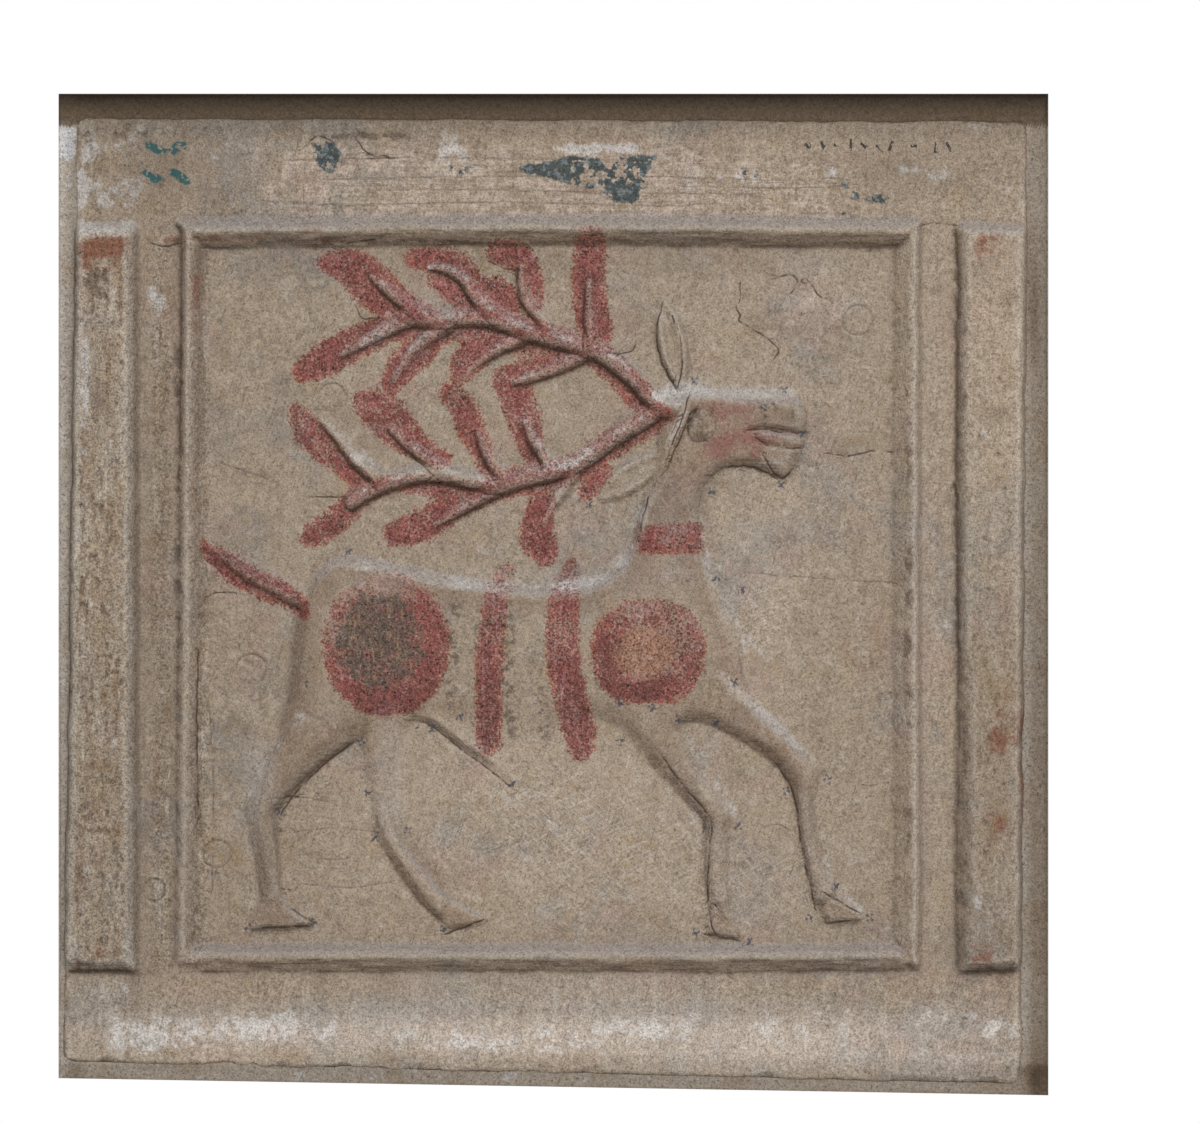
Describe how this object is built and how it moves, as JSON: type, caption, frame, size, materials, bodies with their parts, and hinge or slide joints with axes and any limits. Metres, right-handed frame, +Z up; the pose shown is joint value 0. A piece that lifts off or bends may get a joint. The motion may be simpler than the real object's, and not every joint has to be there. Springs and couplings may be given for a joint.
{
  "type": "terracotta relief plaque",
  "caption": "Square fired clay wall plaque with rails, raised side strips and a beaded panel holding a walking stag in low relief, bedded in a shallow plaster setting",
  "frame": {"origin": "on the flat back of the setting, behind the middle of the plaque", "axes": "+X to the right as seen from the front, +Z up, the carved face looks towards -Y and the back lies on y = 0"},
  "size_m": [0.4676, 0.0533, 0.4734],
  "materials": {
    "terracotta": "matte",
    "setting_plaster": "matte"
  },
  "bodies": {
    "root": {"relief_plaque": "terracotta", "setting_tray": "setting_plaster"}
  },
  "joints": []
}
